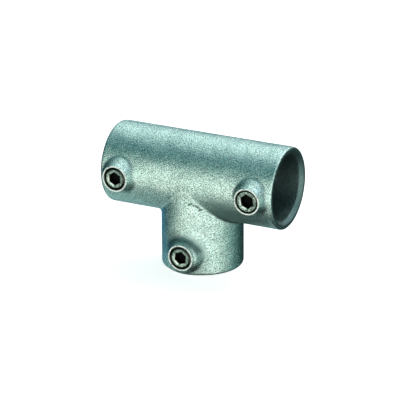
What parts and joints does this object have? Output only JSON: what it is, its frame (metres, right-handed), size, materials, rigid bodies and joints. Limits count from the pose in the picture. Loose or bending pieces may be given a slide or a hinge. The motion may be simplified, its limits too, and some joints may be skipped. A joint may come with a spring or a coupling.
{
  "type": "tube clamp tee fitting",
  "caption": "Galvanised cast tee that joins a post square to a through rail of round tube, each socket locked by a hexagon socket set screw.",
  "frame": {"origin": "where the axis of the rail bore meets the axis of the post socket", "axes": "+X along the rail, -Z down the post socket out of its mouth, and the set screws' key sockets face -Y"},
  "size_m": [0.1396, 0.0684, 0.0998],
  "materials": {
    "galvanised_iron": "satin",
    "screw_steel": "satin"
  },
  "bodies": {
    "casting": {"tee_casting": "galvanised_iron"},
    "left_set_screw": {"left_set_screw": "screw_steel"},
    "right_set_screw": {"right_set_screw": "screw_steel"},
    "post_set_screw": {"post_set_screw": "screw_steel"}
  },
  "joints": [
    {"name": "right_set_screw_travel", "type": "slide", "parent": "casting", "child": "right_set_screw", "axis": [0, -1, 0], "range_m": [-0.00155, 0.01095]},
    {"name": "post_set_screw_travel", "type": "slide", "parent": "casting", "child": "post_set_screw", "axis": [0, -1, 0], "range_m": [-0.00225, 0.01025]},
    {"name": "left_set_screw_travel", "type": "slide", "parent": "casting", "child": "left_set_screw", "axis": [0, -1, 0], "range_m": [-0.00205, 0.01045]}
  ]
}
